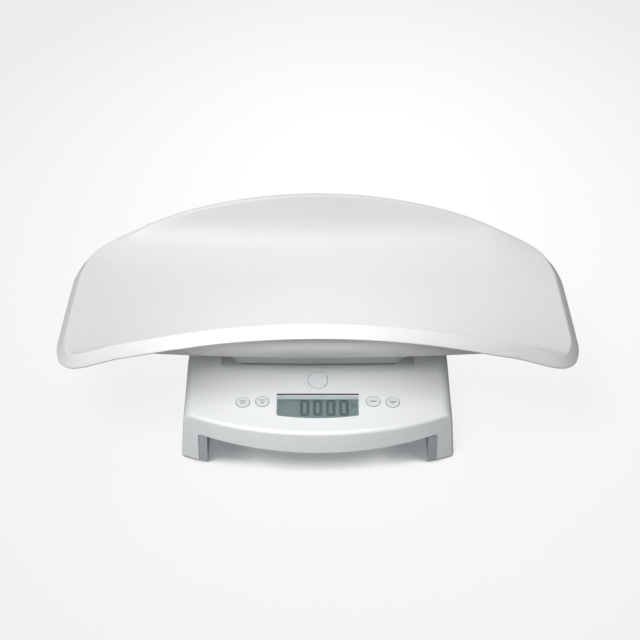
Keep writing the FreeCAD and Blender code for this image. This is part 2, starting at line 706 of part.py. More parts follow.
def make_battery_contacts():
    """A plate at each end of each cell, with a spring at its flat end."""
    solids = []
    half = battery_pitch / 2 - contact_margin
    for index in range(cell_count):
        y = bay_y + battery_pitch * (index + 0.5)
        turn = 1 if index % 2 == 0 else -1
        for side in (-1, 1):
            x0, x1 = sorted([side * (bay_half - touch_gap), side * (bay_half - contact_thickness)])
            solids.append(box(x0, y - half, battery_z - half, x1, y + half, battery_z + half))
        length = contact_spring_length - 2 * touch_gap
        spring = coil(contact_spring_r, contact_spring_wire, length, contact_spring_turns)
        spring.rotate(V(0, 0, 0), V(0, 1, 0), 90 * turn)
        spring.translate(V(-turn * (bay_half - contact_thickness - touch_gap), y, battery_z))
        solids.append(spring)
    return Part.makeCompound(solids)


# ---------------------------------------------------------------- feet and load cells
def make_foot(place):
    x, y = foot_places[place]
    hx, hy = pad_half
    body = rounded_box(x - hx, y - hy, 0, x + hx, y + hy, pad_thickness, pad_corner_r)
    return body.makeChamfer(pad_chamfer, [e for e in body.Edges if e.BoundBox.ZMax < 0.01])


def make_carrier(place):
    x, y = foot_places[place]
    hx, hy = carrier_half
    top = pad_thickness + carrier_thickness
    body = rounded_box(x - hx, y - hy, pad_thickness, x + hx, y + hy, top, carrier_corner_r)
    return body.fuse(rod(carrier_post_r, top, cell_z, x, y))


def make_load_cell(place):
    """Stamped steel cell: a frame screwed at both ends round a tongue that the foot presses on."""
    x, y = foot_places[place]
    top = cell_z + cell_thickness
    hx, hy = cell_half
    body = rounded_box(x - hx, y - hy, cell_z, x + hx, y + hy, top, cell_corner_r)
    tx, ty = tongue_half
    slots = [box(x - tx - tongue_slot, y - ty, cell_z, x - tx, y + ty, top)]
    slots.append(box(x + tx, y - ty, cell_z, x + tx + tongue_slot, y + ty, top))
    slots.append(box(x - tx, y + ty - tongue_slot, cell_z, x + tx, y + ty, top))
    slots += [rod(cell_screw_r, cell_z, top, x, y + dy) for dy in (-cell_screw_y, cell_screw_y)]
    return body.cut(slots)


def screw(head_r, head, shaft_r, length):
    """Pan-headed screw: its head hangs below z = 0 and its shaft points up."""
    top = rod(head_r, -head, 0)
    top = top.makeFillet(screw_head_round * head, [e for e in top.Edges if e.BoundBox.ZMax < 0.01 - head])
    reach, floor = screw_recess_reach * head_r, -screw_recess_depth * head
    half = screw_recess_width / 2
    slot = box(-reach, -half, -head, reach, half, floor)
    cross = box(-half, -reach, -head, half, reach, floor)
    return top.cut([slot, cross]).fuse(rod(shaft_r, 0, length))


def moved(shape, x, y, z):
    placed = shape.copy()
    placed.translate(V(x, y, z))
    return placed


def make_cell_screws():
    length = cell_thickness + cell_screw_bite - screw_tip_gap
    one = screw(cell_screw_head_r, cell_screw_head, cell_screw_r, length)
    places = [(x, y + dy) for x, y in foot_places.values() for dy in (-cell_screw_y, cell_screw_y)]
    return Part.makeCompound([moved(one, x, y, cell_z) for x, y in places])


def make_housing_screws():
    length = cover_thickness + housing_screw_bite - screw_tip_gap
    one = screw(housing_screw_head_r, housing_screw_head, housing_screw_r, length)
    return Part.makeCompound([moved(one, x, y, cover_z) for x, y in boss_places])


# ---------------------------------------------------------------- display, board and keys
frame_top = -housing_wall - seat_gap
glass_bottom = frame_top - glass_thickness


def board_box(x, v, hx, hv, low, high):
    return on_board(box(x - hx, v - hv, low, x + hx, v + hv, high))


def make_window_lens():
    return window_block(0.0, lens_proud - lens_thickness, lens_proud)


def make_lcd_glass():
    return board_box(0, glass_middle, glass_width / 2, glass_height / 2, glass_bottom, frame_top)


def make_lcd_frame():
    inner_x, inner_v = glass_width / 2 + seat_gap, glass_height / 2 + seat_gap
    outer = board_box(0, glass_middle, inner_x + frame_wall, inner_v + frame_wall, -board_depth, frame_top)
    return outer.cut(board_box(0, glass_middle, inner_x, inner_v, -board_depth - 1, frame_top + 1))


def make_lcd_strips():
    reach = glass_height / 2 - strip_inset
    strips = [board_box(0, glass_middle + dv, strip_length / 2, strip_width / 2, -board_depth, glass_bottom)
              for dv in (-reach, reach)]
    return Part.makeCompound(strips)


def make_main_board():
    low = -board_depth - board_thickness
    board = box(-board_half_width, -board_down, low, board_half_width, board_up, -board_depth)
    holes = [rod(board_screw_r, low, -board_depth, x, v) for x, v in board_screw_places]
    return on_board(board.cut(holes))


def make_board_parts():
    """Chips and the four lead sockets, all on the board's underside."""
    low = -board_depth - board_thickness
    solids = [board_box(x, v, hx, hv, low - height, low) for x, v, hx, hv, height in chip_places]
    for side in (-1, 1):
        for v in (front_socket_v, rear_socket_v):
            x = side * socket_x
            solids.append(board_box(x, v, socket_half[0], socket_half[1], low - socket_height, low))
    return Part.makeCompound(solids)


def make_buzzer():
    low = -board_depth - board_thickness
    can = rod(buzzer_r, low - buzzer_height, low, buzzer_place[0], buzzer_place[1])
    port_top = low - buzzer_height + buzzer_port_depth
    port = rod(buzzer_port_r, low - buzzer_height, port_top, buzzer_place[0], buzzer_place[1])
    return on_board(can.cut(port))


def make_board_screws():
    length = board_thickness + board_screw_bite - screw_tip_gap
    one = screw(board_screw_head_r, board_screw_head, board_screw_r, length)
    low = -board_depth - board_thickness
    return Part.makeCompound([on_board(moved(one, x, v, low)) for x, v in board_screw_places])


def make_key_switches():
    tops = [rod(switch_r, -board_depth, switch_height - board_depth, x, v) for x, v in key_places.values()]
    return Part.makeCompound([on_board(top) for top in tops])


def make_key(name):
    """A round key: cap through the panel, flange under it, stem over its switch."""
    x, v = key_places[name]
    rise = key_proud + v ** 2 / (2 * sweep_r)
    cap = rod(key_r, frame_top, rise)
    cap = cap.makeFillet(cap_edge_r, [e for e in cap.Edges if e.BoundBox.ZMin > rise - 0.01])
    flange = rod(key_flange_r, frame_top - key_flange, frame_top)
    stem_end = switch_height - board_depth + key_travel + key_slack
    key = cap.fuse([flange, rod(key_stem_r, stem_end, frame_top)]).removeSplitter()
    return on_board(moved(key, x, v, 0))


# ---------------------------------------------------------------- tray release
def make_release_button():
    cap = rod(button_r, -housing_wall - seat_gap, button_proud)
    cap = cap.makeFillet(cap_edge_r, [e for e in cap.Edges if e.BoundBox.ZMin > button_proud - 0.01])
    flange_top = -housing_wall - seat_gap
    flange = rod(button_flange_r, flange_top - button_flange, flange_top)
    stem = rod(button_stem_r, -button_stem, flange_top)
    tip_edges = [e for e in stem.Edges if e.BoundBox.ZMax < 0.01 - button_stem]
    stem = stem.makeFillet(button_stem_r - button_stem_flat, tip_edges)
    return on_panel(cap.fuse([flange, stem]).removeSplitter(), button_y)


def make_rocker():
    """L-shaped rocker: the button presses its arm, its hook holds the tray's catch."""
    reach = button_stem + seat_gap
    z, slope = panel_at(button_y)
    stem_end = sunk(button_y, z, slope, reach)

    def arm_point(y, depth):
        top = stem_end.z + (y - stem_end.y) * math.tan(slope)
        return (y + depth * math.sin(slope), top - depth * math.cos(slope))

    tip_y = pivot_y - rocker_reach
    arm = [arm_point(tip_y, 0), arm_point(pivot_y, 0)]
    arm += [arm_point(pivot_y, rocker_thickness), arm_point(tip_y, rocker_thickness)]
    half_plate = rocker_thickness / 2
    front, rear = pivot_y - half_plate, pivot_y + half_plate
    plate = [(front, pivot_z), (rear, pivot_z), (rear, hook_top_z), (front, hook_top_z)]
    nose_low = hook_top_z - hook_nose_thickness
    tip = pivot_y + hook_nose
    nose = [(pivot_y, nose_low - hook_ramp), (rear, nose_low), (tip, nose_low)]
    nose += [(tip, nose_low + hook_ramp), (rear, hook_top_z), (pivot_y, hook_top_z)]
    hub = pivot_rod(rocker_hub_r, rocker_half_width)
    pad = rod(spring_r + spring_wire, spring_top_z, arm_point(spring_y, rocker_thickness / 2)[1], 0, spring_y)
    solids = [polygon_x(points, rocker_half_width) for points in (plate, nose)]
    body = polygon_x(arm, rocker_half_width).fuse(solids + [hub, pad])
    return body.cut(pivot_rod(pivot_r + pin_gap, beyond))


def make_pivot_pin():
    return pivot_rod(pivot_r, rocker_half_width + slide_gap + ear_thickness)


def make_latch_spring():
    length = spring_top_z - spring_seat_z - 2 * touch_gap
    return moved(coil(spring_r, spring_wire, length, spring_turns), 0, spring_y, spring_seat_z + touch_gap)


# ---------------------------------------------------------------- tray
floor_r = floor_half / math.sin(floor_edge_slope)
trough_y = floor_half - trough_r * math.sin(floor_edge_slope)
trough_z = tray_floor_z + floor_r * (1 - math.cos(floor_edge_slope)) + trough_r * math.cos(floor_edge_slope)
wall_y = trough_y + trough_r * math.sin(trough_wall_slope)
wall_z = trough_z - trough_r * math.cos(trough_wall_slope)
end_reach = tray_length / 2 - rim_r * math.sin(lip_slope) - lip_length * math.cos(lip_slope)


def trough_at(y):
    """Height and slope of the tray's inside, across its middle, at y from the centre line."""
    y = abs(y)
    if y <= floor_half:
        return tray_floor_z + floor_r - math.sqrt(floor_r ** 2 - y ** 2), math.asin(y / floor_r)
    if y <= wall_y:
        slope = math.asin((y - trough_y) / trough_r)
        return trough_z - trough_r * math.cos(slope), slope
    return wall_z + (y - wall_y) * math.tan(trough_wall_slope), trough_wall_slope


def trough_reach(z):
    """How far from the centre line the inside of the tray has risen to z."""
    if z >= wall_z:
        return wall_y + (z - wall_z) / math.tan(trough_wall_slope)
    edge_z = trough_z - trough_r * math.cos(floor_edge_slope)
    if z >= edge_z:
        return trough_y + math.sqrt(trough_r ** 2 - (trough_z - z) ** 2)
    return math.sqrt(max(floor_r ** 2 - (tray_floor_z + floor_r - z) ** 2, 1.0))


def floor_bow(x):
    return tray_floor_bow_r - math.sqrt(tray_floor_bow_r ** 2 - x ** 2)


def flare(x):
    """How much the trough's section is squeezed at x: 1 in the middle, less towards the ends."""
    past = max(abs(x) - flare_start_x, 0.0) / (end_reach - flare_start_x)
    return 1 - flare_share * past ** 2


def tray_height(x, y):
    return trough_at(y * flare(x))[0] + floor_bow(x)


def tray_point(x, y):
    return V(x, y, tray_height(x, y))


def tray_normal(x, y):
    """Upward unit normal of the tray's inside."""
    step = 0.05
    rise_x = (tray_height(x + step, y) - tray_height(x - step, y)) / (2 * step)
    rise_y = (tray_height(x, y + step) - tray_height(x, y - step)) / (2 * step)
    return V(-rise_x, -rise_y, 1).normalize()


def rim_reach_y(x):
    """Where the tray's wall meets the bowed rim, at x along the tray."""
    turn_over = rim_r * (1 - math.cos(trough_wall_slope))
    rim_z = tray_rim_z - turn_over - tray_rim_bow_r + math.sqrt(tray_rim_bow_r ** 2 - x ** 2)
    return trough_reach(rim_z - floor_bow(x)) / flare(x)


def rim_spot(angle, across):
    """Point of the rim in plan, in one direction: walls and ends joined by rounded corners."""
    direction = V(end_reach * math.cos(angle), across * math.sin(angle), 0)
    low, high = 0.0, 1.3
    for _ in range(40):
        share = (low + high) / 2
        x, y = abs(direction.x) * share, abs(direction.y) * share
        end = end_reach - tray_end_bulge * (y / across) ** 2
        reach = rim_reach_y(min(x, end_reach))
        inside = (x / end) ** corner_power + (y / reach) ** corner_power < 1
        low, high = (share, high) if inside else (low, share)
    return direction * low


def rim_outline():
    """The rim in plan, as evenly spaced points."""
    across = rim_reach_y(0)
    fine = 8 * rim_points
    spots = [rim_spot(2 * math.pi * i / fine, across) for i in range(fine + 1)]
    lengths = [0.0]
    for before, after in zip(spots, spots[1:]):
        lengths.append(lengths[-1] + (after - before).Length)
    outline = []
    index = 0
    for i in range(rim_points):
        target = lengths[-1] * (i + 0.5) / rim_points
        while lengths[index + 1] < target:
            index += 1
        share = (target - lengths[index]) / (lengths[index + 1] - lengths[index])
        outline.append(spots[index] + (spots[index + 1] - spots[index]) * share)
    return outline


def smooth_ring(points):
    """Closed smooth curve through evenly numbered points."""
    curve = Part.BSplineCurve()
    steps = [i / len(points) for i in range(len(points) + 1)]
    curve.interpolate(Points=points, PeriodicFlag=True, Parameters=steps)
    return Part.Wire(curve.toShape())


def make_tray_rings():
    """Rings over the tray's inside, over the rim, down the lip, and back along the underside."""
    outline = rim_outline()
    inside, outside = [], []
    for share in ring_shares:
        spots = [(p.x * share, p.y * share) for p in outline]
        inside.append([tray_point(x, y) for x, y in spots])
        outside.append([tray_point(x, y) - tray_normal(x, y) * tray_wall for x, y in spots])
    middle_z, under_z = tray_floor_z, tray_floor_z - tray_wall
    inside[0] = [V(p.x, p.y, middle_z) for p in inside[0]]
    outside[0] = [V(p.x, p.y, under_z) for p in outside[0]]
    turns = [i / rim_turns for i in range(1, rim_turns + 1)]
    over = [[] for _ in turns]
    under = [[] for _ in turns]
    lip, lip_under = [], []
    for i, p in enumerate(outline):
        along = (outline[(i + 1) % rim_points] - outline[i - 1]).normalize()
        out = V(along.y, -along.x, 0)
        start = tray_point(p.x, p.y)
        normal = tray_normal(p.x, p.y)
        rise = math.atan2(-normal.dot(out), normal.z)
        centre = start - (out * -math.sin(rise) + V(0, 0, math.cos(rise))) * rim_r
        for k, turn in enumerate(turns):
            slope = rise - (rise + lip_slope) * turn
            ray = out * -math.sin(slope) + V(0, 0, math.cos(slope))
            over[k].append(centre + ray * rim_r)
            under[k].append(centre + ray * (rim_r - tray_wall))
        run = (out * math.cos(lip_slope) - V(0, 0, math.sin(lip_slope))) * lip_length
        lip.append(over[-1][-1] + run)
        lip_under.append(under[-1][-1] + run)
    return inside + over + [lip, lip_under] + under[::-1] + outside[::-1]


def make_tray_shell():
    body = Part.makeLoft([smooth_ring(ring) for ring in make_tray_rings()], True, True)
    base = plinth_web_z + plinth_web
    for x, y in plinth_screw_places:
        boss = rod(plinth_boss_r, base, tray_point(x, y).z - tray_wall / 2, x, y)
        body = body.fuse(boss.cut(rod(plinth_screw_r, base, base + plinth_screw_bite, x, y)))
    return body


def above_tray_underside(gap):
    """Everything above the tray's underside over the plinth, lowered by gap."""
    under_r = floor_r + tray_wall + gap
    reach = plinth_half_depth + plinth_bow + plinth_margin
    middle_z = tray_floor_z + floor_r
    edge_z = middle_z - math.sqrt(under_r ** 2 - reach ** 2)
    low = V(0, 0, middle_z - under_r)
    left, right = V(0, -reach, edge_z), V(0, reach, edge_z)
    top_left, top_right = V(0, -reach, tray_floor_z + beyond), V(0, reach, tray_floor_z + beyond)
    edges = [arc(left, low, right), line(right, top_right), line(top_right, top_left), line(top_left, left)]
    face = Part.Face(Part.Wire(edges))
    axis_at = V(0, 0, tray_floor_z + tray_floor_bow_r)
    swing = math.degrees((plinth_half_width + plinth_margin) / tray_floor_bow_r)
    face.rotate(axis_at, V(0, 1, 0), -swing)
    return face.revolve(axis_at, V(0, 1, 0), 2 * swing)


def plinth_prism(shrink, z0, z1):
    x, y = plinth_half_width - shrink, plinth_half_depth - shrink
    corners = [V(-x, -y, z0), V(x, -y, z0), V(x, y, z0), V(-x, y, z0)]
    edges = [arc(corners[0], V(0, -y - plinth_bow, z0), corners[1]), line(corners[1], corners[2])]
    edges += [arc(corners[2], V(0, y + plinth_bow, z0), corners[3]), line(corners[3], corners[0])]
    prism = Part.Face(Part.Wire(edges)).extrude(V(0, 0, z1 - z0))
    return prism.makeFillet(plinth_corner_r - shrink, upright_edges(prism))


def make_tray_plinth():
    """Frame under the tray: a wall with a web across it, two pegs and the catch."""
    foot = recess_z + seat_gap
    web_top = plinth_web_z + plinth_web
    body = plinth_prism(0, foot, tray_floor_z + beyond / 2)
    below_web = plinth_prism(plinth_wall, foot - 1, plinth_web_z)
    above_web = plinth_prism(plinth_wall, web_top, tray_floor_z + beyond)
    body = body.cut([below_web, above_web]).cut(above_tray_underside(touch_gap))
    pegs = [rod(peg_r, recess_z - peg_length, plinth_web_z, x, y) for x, y in peg_places]
    lip_z = catch_bottom_z + catch_lip_height
    rear = catch_y + catch_thickness
    tip = catch_y - catch_lip
    catch = [(catch_y, plinth_web_z), (catch_y, lip_z), (tip, lip_z), (tip, lip_z - catch_lip_edge)]
    catch += [(catch_y, catch_bottom_z), (rear, catch_bottom_z), (rear, plinth_web_z)]
    body = body.fuse(pegs + [polygon_x(catch, catch_half_width)])
    holes = [rod(plinth_screw_r, plinth_web_z - 1, web_top + 1, x, y) for x, y in plinth_screw_places]
    return body.cut(holes)


def make_plinth_screws():
    length = plinth_web + plinth_screw_bite - screw_tip_gap
    one = screw(plinth_screw_head_r, plinth_screw_head, plinth_screw_r, length)
    return Part.makeCompound([moved(one, x, y, plinth_web_z) for x, y in plinth_screw_places])


# ---------------------------------------------------------------- load cell leads
def socket_mouth(v):
    """Where a lead enters the outer face of a socket under the board."""
    z, slope = panel_at(board_y)
    depth = board_depth + board_thickness + socket_height / 2
    return V(socket_x + socket_half[0], board_y + v * math.cos(slope) + depth * math.sin(slope),
             z + v * math.sin(slope) - depth * math.cos(slope))


def lead_routes():
    """Corner points of each lead, from its load cell up through the cover to the board."""
    cell_top = cell_z + cell_thickness
    front, rear = socket_mouth(front_socket_v), socket_mouth(rear_socket_v)
    right_front = [V(foot_x - 6.0, front.y, cell_top), V(foot_x - 6.0, front.y, front.z), front]
    level = rear.z
    spots = [(3.0, rear_foot_y - 7.0), (0.0, 40.0), (-1.0, -8.0), (0.5, -56.0), (3.0, rear.y)]
    run = [V(foot_x + dx, y, level) for dx, y in spots]
    right_rear = [V(run[0].x, run[0].y, cell_top)] + run + [rear]
    routes = {}
    for end, points in (("front", right_front), ("rear", right_rear)):
        routes[end + "_right"] = points
        routes[end + "_left"] = [V(-p.x, p.y, p.z) for p in points]
    return routes


def make_lead(points):
    """Round lead along straight runs joined by tangent arcs."""
    edges = []
    start = points[0]
    for before, corner, after in zip(points, points[1:], points[2:]):
        back, ahead = before - corner, after - corner
        half_turn = (math.pi - back.getAngle(ahead)) / 2
        trim = lead_bend_share * min(back.Length, ahead.Length)
        radius = trim / math.tan(half_turn)
        print("lead bend radius", round(radius, 1))
        back.normalize()
        ahead.normalize()
        middle = (back + ahead).normalize()
        centre = corner + middle * (radius / math.cos(half_turn))
        enter, leave = corner + back * trim, corner + ahead * trim
        edges += [line(start, enter), arc(enter, centre - middle * radius, leave)]
        start = leave
    edges.append(line(start, points[-1]))
    path = Part.Wire(edges)
    section = Part.Wire(Part.makeCircle(lead_r, points[0], points[1] - points[0]))
    tube = path.makePipeShell([section], True, False)
    print("lead volume share", round(tube.Volume / (math.pi * lead_r ** 2 * path.Length), 4))
    return tube


# ---------------------------------------------------------------- every sub-part
save("top_housing", make_top_housing())
save("bottom_cover", make_bottom_cover())
save("battery_door", make_battery_door())
for number in range(cell_count):
    save("battery_" + str(number + 1), battery(number))
save("battery_contacts", make_battery_contacts())
for corner in foot_places:
    save("rubber_foot_" + corner, make_foot(corner))
    save("foot_carrier_" + corner, make_carrier(corner))
    save("load_cell_" + corner, make_load_cell(corner))
for corner, route in lead_routes().items():
    save("cell_lead_" + corner, make_lead(route))
save("load_cell_screws", make_cell_screws())
save("housing_screws", make_housing_screws())
save("window_lens", make_window_lens())
save("lcd_glass", make_lcd_glass())
save("lcd_frame", make_lcd_frame())
save("lcd_contact_strips", make_lcd_strips())
save("main_board", make_main_board())
save("board_parts", make_board_parts())
save("buzzer", make_buzzer())
save("board_screws", make_board_screws())
save("key_switches", make_key_switches())
for key_name in key_places:
    save(key_name, make_key(key_name))
save("tray_release_button", make_release_button())
save("latch_rocker", make_rocker())
save("latch_pivot_pin", make_pivot_pin())
save("latch_spring", make_latch_spring())
save("tray_shell", make_tray_shell())
save("tray_plinth", make_tray_plinth())
save("tray_plinth_screws", make_plinth_screws())
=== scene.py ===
import bpy
import json
import math
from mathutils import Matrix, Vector


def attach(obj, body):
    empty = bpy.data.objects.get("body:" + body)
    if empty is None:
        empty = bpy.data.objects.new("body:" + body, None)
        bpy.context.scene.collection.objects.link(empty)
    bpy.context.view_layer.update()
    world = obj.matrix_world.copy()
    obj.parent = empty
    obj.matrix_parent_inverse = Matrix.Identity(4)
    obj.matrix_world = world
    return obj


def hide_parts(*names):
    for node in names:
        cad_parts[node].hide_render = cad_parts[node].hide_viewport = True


MM = 0.001

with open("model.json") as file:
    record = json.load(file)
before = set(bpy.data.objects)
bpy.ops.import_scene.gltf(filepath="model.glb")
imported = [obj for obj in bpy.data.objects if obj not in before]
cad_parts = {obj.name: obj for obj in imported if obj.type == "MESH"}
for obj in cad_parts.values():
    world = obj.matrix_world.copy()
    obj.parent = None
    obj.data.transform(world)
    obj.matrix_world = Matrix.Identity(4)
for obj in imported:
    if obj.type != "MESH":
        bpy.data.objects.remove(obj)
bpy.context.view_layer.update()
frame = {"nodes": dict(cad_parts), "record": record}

# ------------------------------------------------------------------ shader helpers
NOISE_MIDDLE = (0.25, 0.75)         # where most values of a noise lie
DRIFT_SCALE, SHEEN_SCALE = 9.0, 60.0
SHEEN_SPREAD = 0.04
RIDGE_POINTINESS, RIDGE_LIGHTER = (0.51, 0.60), 1.12
RELIEF_DEPTH = 0.0002
HAZE_LOW, HAZE_HIGH, HAZE_SCALE = (0.30, 0.36, 0.36), (0.34, 0.40, 0.40), 120.0
SMEAR_ROUGHNESS, SMEAR_SCALE = (0.10, 0.18), 45.0
WINDOW_ALPHA = 0.14


def nodes_of(name):
    """A new material, its node tree and its shader."""
    mat = bpy.data.materials.new(name)
    mat.use_nodes = True
    tree = mat.node_tree
    return mat, tree, tree.nodes["Principled BSDF"]


def noise(tree, coords, scale, detail=3.0):
    """Output of a noise of this scale."""
    node = tree.nodes.new("ShaderNodeTexNoise")
    node.inputs["Scale"].default_value = scale
    node.inputs["Detail"].default_value = detail
    tree.links.new(coords, node.inputs["Vector"])
    return node.outputs["Fac"]


def spread(tree, value, low, high):
    """The middle of a noise, stretched to run from low to high."""
    node = tree.nodes.new("ShaderNodeMapRange")
    node.inputs["From Min"].default_value = NOISE_MIDDLE[0]
    node.inputs["From Max"].default_value = NOISE_MIDDLE[1]
    node.inputs["To Min"].default_value = low
    node.inputs["To Max"].default_value = high
    tree.links.new(value, node.inputs["Value"])
    return node.outputs["Result"]


def mixed(tree, factor, low, high):
    """A colour between low and high, each a colour or a node's output."""
    node = tree.nodes.new("ShaderNodeMix")
    node.data_type = "RGBA"
    tree.links.new(factor, node.inputs["Factor"])
    for socket, colour in (("A", low), ("B", high)):
        target = [s for s in node.inputs if s.name == socket and s.type == "RGBA"][0]
        if isinstance(colour, bpy.types.NodeSocket):
            tree.links.new(colour, target)
        else:
            target.default_value = (*colour, 1.0)
    return [s for s in node.outputs if s.type == "RGBA"][0]


def scaled(colour, k):
    return tuple(min(c * k, 1.0) for c in colour)


def surface(name, colour, rough, drift=0.02, grain=1400.0, relief=0.02, edge_lift=0.0, metal=0.0):
    """Moulded or rolled surface: slow colour drift, uneven sheen, fine grain and, if asked, lighter
    sharp edges.
    """
    mat, tree, shader = nodes_of(name)
    coords = tree.nodes.new("ShaderNodeTexCoord").outputs["Object"]
    slow = spread(tree, noise(tree, coords, DRIFT_SCALE, 2.0), 0.0, 1.0)
    tone = mixed(tree, slow, scaled(colour, 1 - drift), scaled(colour, 1 + drift))
    # lighter where the surface is sharply convex
    if edge_lift > 0:
        edge = tree.nodes.new("ShaderNodeNewGeometry").outputs["Pointiness"]
        ridge = tree.nodes.new("ShaderNodeMapRange")
        ridge.inputs["From Min"].default_value = RIDGE_POINTINESS[0]
        ridge.inputs["From Max"].default_value = RIDGE_POINTINESS[1]
        ridge.inputs["To Max"].default_value = edge_lift
        tree.links.new(edge, ridge.inputs["Value"])
        tone = mixed(tree, ridge.outputs["Result"], tone, scaled(colour, RIDGE_LIGHTER))
    tree.links.new(tone, shader.inputs["Base Color"])
    patches = noise(tree, coords, SHEEN_SCALE, 4.0)
    sheen = spread(tree, patches, rough - SHEEN_SPREAD, rough + SHEEN_SPREAD)
    tree.links.new(sheen, shader.inputs["Roughness"])
    bump = tree.nodes.new("ShaderNodeBump")
    bump.inputs["Strength"].default_value = relief
    bump.inputs["Distance"].default_value = RELIEF_DEPTH
    tree.links.new(noise(tree, coords, grain, 2.0), bump.inputs["Height"])
    tree.links.new(bump.outputs["Normal"], shader.inputs["Normal"])
    shader.inputs["Metallic"].default_value = metal
    return mat


def clear_window(name):
    """Clear plastic that shows what lies under it, a little hazy and smeared."""
    mat, tree, shader = nodes_of(name)
    coords = tree.nodes.new("ShaderNodeTexCoord").outputs["Object"]
    haze = mixed(tree, noise(tree, coords, HAZE_SCALE), HAZE_LOW, HAZE_HIGH)
    tree.links.new(haze, shader.inputs["Base Color"])
    smear = spread(tree, noise(tree, coords, SMEAR_SCALE, 4.0), *SMEAR_ROUGHNESS)
    tree.links.new(smear, shader.inputs["Roughness"])
    shader.inputs["Alpha"].default_value = WINDOW_ALPHA
    return mat


PAINT = {
    "housing_plastic": surface("housing_plastic", (0.735, 0.742, 0.748), 0.38, relief=0.05),
    # a darker grey than the housing, made darker still as painted shade so the posts under the apron
    # look shaded
    "cover_plastic": surface("cover_plastic", (0.39, 0.405, 0.425), 0.45, relief=0.08),
    "tray_plastic": surface("tray_plastic", (0.725, 0.716, 0.706), 0.42, drift=0.012, relief=0.03),
    "plinth_plastic": surface("plinth_plastic", (0.66, 0.68, 0.68), 0.40, relief=0.05),
    "key_plastic": surface("key_plastic", (0.66, 0.675, 0.68), 0.38, relief=0.05),
    "button_plastic": surface("button_plastic", (0.73, 0.745, 0.755), 0.34, relief=0.03),
    "acetal": surface("acetal", (0.78, 0.77, 0.72), 0.4),
    "foot_rubber": surface("foot_rubber", (0.035, 0.035, 0.038), 0.78, drift=0.12, grain=900.0,
                           relief=0.3),
    "carrier_plastic": surface("carrier_plastic", (0.03, 0.03, 0.032), 0.5, drift=0.08),
    "spring_steel": surface("spring_steel", (0.60, 0.59, 0.56), 0.3, metal=1.0),
    "screw_steel": surface("screw_steel", (0.56, 0.56, 0.55), 0.34, drift=0.06, metal=1.0),
    "contact_steel": surface("contact_steel", (0.66, 0.65, 0.61), 0.26, drift=0.05, metal=1.0),
    "cell_steel": surface("cell_steel", (0.52, 0.52, 0.50), 0.38, drift=0.06, grain=2600.0,
                          relief=0.1, metal=1.0),
    "battery_can": surface("battery_can", (0.045, 0.06, 0.085), 0.32, drift=0.1, edge_lift=0.2),
    "lead_jacket": surface("lead_jacket", (0.62, 0.62, 0.60), 0.55, drift=0.04),
    "window_clear": clear_window("window_clear"),
    "lcd_glass": surface("lcd_glass", (0.155, 0.215, 0.205), 0.32, drift=0.05, grain=300.0, relief=0.0),
    "lcd_frame": surface("lcd_frame", (0.72, 0.72, 0.70), 0.5),
    "contact_strip": surface("contact_strip", (0.10, 0.05, 0.05), 0.7, drift=0.15),
    "board_green": surface("board_green", (0.02, 0.11, 0.05), 0.42, drift=0.12, grain=500.0, relief=0.1),
    "chip_black": surface("chip_black", (0.02, 0.02, 0.021), 0.5, drift=0.1),
    "switch_metal": surface("switch_metal", (0.62, 0.61, 0.58), 0.3, metal=1.0),
}
slots = {row["node"]: row["material_slot"] for row in frame["record"]["subparts"]}
for node, obj in frame["nodes"].items():
    obj.data.materials.clear()
    obj.data.materials.append(PAINT[slots[node]])


# ------------------------------------------------------------------ mesh helpers
def piece(name, verts, faces, material, body, smooth=True):
    """A mesh from points in millimetres, riding on one body."""
    mesh = bpy.data.meshes.new(name)
    mesh.from_pydata([Vector(v) * MM for v in verts], [], faces)
    mesh.update()
    obj = bpy.data.objects.new(name, mesh)
    bpy.context.scene.collection.objects.link(obj)
    if smooth:
        mesh.shade_smooth()
    mesh.materials.append(material)
    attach(obj, body)
    return obj


def slab(outline, place, low, high):
    """Points and faces of a flat plate with this outline, placed by place(x, v, h)."""
    count = len(outline)
    verts = [place(x, v, low) for x, v in outline] + [place(x, v, high) for x, v in outline]
    faces = [tuple(reversed(range(count))), tuple(range(count, 2 * count))]
    faces += [(i, (i + 1) % count, count + (i + 1) % count, count + i) for i in range(count)]
    return verts, faces


def joined(parts):
    """Several parts' points and faces as one list of each."""
    verts, faces = [], []
    for part_verts, part_faces in parts:
        start = len(verts)
        verts += part_verts
        faces += [tuple(start + i for i in face) for face in part_faces]
    return verts, faces


def rect(x0, v0, x1, v1):
    """Outline of a level rectangle."""
    return [(x0, v0), (x1, v0), (x1, v1), (x0, v1)]


# ------------------------------------------------------------------ tray, in millimetres
FLOOR_Z, RIM_Z, WALL = 113.4, 192.8, 3.5
LENGTH, END_BULGE, RIM_BOW, FLOOR_BOW = 564.0, 3.8, 630.0, 3000.0
FLOOR_HALF, EDGE_SLOPE, TROUGH_R, WALL_SLOPE = 80.0, math.radians(10), 72.0, math.radians(72)
FLARE_X, FLARE = 200.0, 0.26
RIM_R, LIP_SLOPE, LIP, POWER = 4.0, math.radians(50.5), 12.9, 30
FLOOR_R = FLOOR_HALF / math.sin(EDGE_SLOPE)
TROUGH_Y = FLOOR_HALF - TROUGH_R * math.sin(EDGE_SLOPE)
TROUGH_Z = FLOOR_Z + FLOOR_R * (1 - math.cos(EDGE_SLOPE)) + TROUGH_R * math.cos(EDGE_SLOPE)
WALL_Y = TROUGH_Y + TROUGH_R * math.sin(WALL_SLOPE)
WALL_Z = TROUGH_Z - TROUGH_R * math.cos(WALL_SLOPE)
END = LENGTH / 2 - RIM_R * math.sin(LIP_SLOPE) - LIP * math.cos(LIP_SLOPE)
SEARCH_STEPS, SEARCH_REACH = 34, 1.3      # halvings that find the rim's outline, and where they start
FINE = 10                                 # spots found for each one that is kept, evenly spaced
SKIN_SPOTS = 400                          # spots in each ring of the skin
SKIN_SHARES = (0.03, 0.12, 0.22, 0.32, 0.40, 0.47, 0.53, 0.58, 0.62, 0.66, 0.70, 0.735, 0.77, 0.80, 0.83,
               0.86, 0.89, 0.92, 0.95, 0.975, 1.0)
